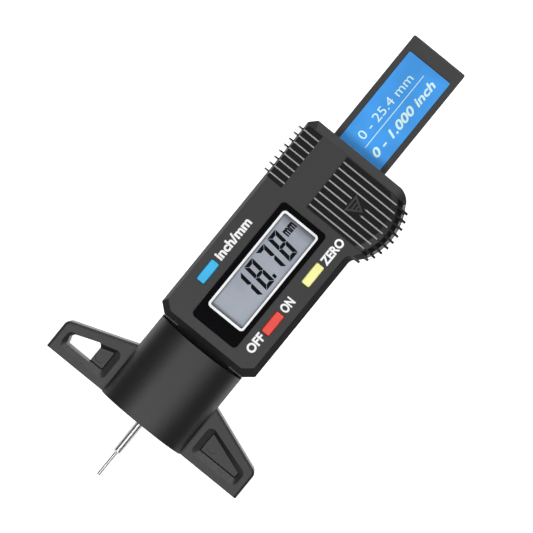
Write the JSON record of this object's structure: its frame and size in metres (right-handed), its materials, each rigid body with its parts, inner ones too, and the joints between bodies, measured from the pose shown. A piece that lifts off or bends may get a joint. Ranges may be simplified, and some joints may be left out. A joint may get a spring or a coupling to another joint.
{
  "type": "tyre tread depth gauge",
  "caption": "Digital tyre tread depth gauge: wide foot, beam, and a sliding display head that carries a stepped probe, with press buttons and a ribbed battery cover",
  "frame": {"origin": "where the probe's axis crosses the foot's measuring face, the face that rests on the tyre", "axes": "+X to the right of the display, +Y up the beam and away from the tyre, +Z out of the display; the tool lies on its back"},
  "size_m": [0.07, 0.1563, 0.019],
  "materials": {
    "case_plastic": "fine spark-eroded black moulding",
    "beam_plastic": "satin black",
    "label_film": "blue printed polyester film",
    "strip_laminate": "glass-epoxy laminate",
    "board_laminate": "green glass-epoxy laminate with solder mask",
    "chip_epoxy": "black potting",
    "lens_plastic": "clear acrylic with a printed black mask",
    "lcd_glass": "liquid crystal cell",
    "frame_plastic": "white moulding",
    "contact_rubber": "silicone with conductive layers",
    "pad_rubber": "silicone rubber",
    "steel": "ground stainless steel",
    "screw_steel": "zinc-plated steel",
    "gib_bronze": "phosphor bronze",
    "contact_metal": "nickel-plated spring bronze",
    "cell_steel": "polished nickel-plated steel",
    "unit_key_plastic": "blue",
    "power_key_plastic": "red",
    "zero_key_plastic": "pale yellow"
  },
  "bodies": {
    "base": {"foot_shell": "case_plastic", "foot_back_plate": "case_plastic", "foot_screws": "screw_steel", "beam": "beam_plastic", "scale_strip": "strip_laminate", "scale_label": "label_film"},
    "head": {"front_housing": "case_plastic", "rear_housing": "case_plastic", "gib_strip": "gib_bronze", "gib_screws": "screw_steel", "housing_screws": "screw_steel", "stop_screw": "screw_steel", "probe_pin": "steel", "probe_clamp": "steel", "probe_set_screw": "screw_steel", "main_board": "board_laminate", "controller_chip": "chip_epoxy", "lcd_frame": "frame_plastic", "lcd_panel": "lcd_glass", "zebra_strip": "contact_rubber", "window_lens": "lens_plastic", "battery_cell": "cell_steel", "negative_contact": "contact_metal", "positive_contact": "contact_metal", "unit_pad": "pad_rubber", "power_pad": "pad_rubber", "zero_pad": "pad_rubber"},
    "unit_key": {"unit_button": "unit_key_plastic"},
    "power_key": {"power_button": "power_key_plastic"},
    "zero_key": {"zero_button": "zero_key_plastic"},
    "battery_door": {"battery_cover": "case_plastic"}
  },
  "joints": [
    {"name": "head_slide", "type": "slide", "parent": "base", "child": "head", "axis": [0, 1, 0], "range_m": [-0.0005, 0.0249]},
    {"name": "unit_press", "type": "slide", "parent": "head", "child": "unit_key", "axis": [0, 0, -1], "range_m": [0, 0.0005], "stiffness_N_per_m": 500, "springref_m": -0.001, "deforming": ["unit_pad"]},
    {"name": "power_press", "type": "slide", "parent": "head", "child": "power_key", "axis": [0, 0, -1], "range_m": [0, 0.0005], "stiffness_N_per_m": 500, "springref_m": -0.001, "deforming": ["power_pad"]},
    {"name": "zero_press", "type": "slide", "parent": "head", "child": "zero_key", "axis": [0, 0, -1], "range_m": [0, 0.0005], "stiffness_N_per_m": 500, "springref_m": -0.001, "deforming": ["zero_pad"]},
    {"name": "battery_door_slide", "type": "slide", "parent": "head", "child": "battery_door", "axis": [1, 0, 0], "range_m": [0, 0.027]}
  ]
}
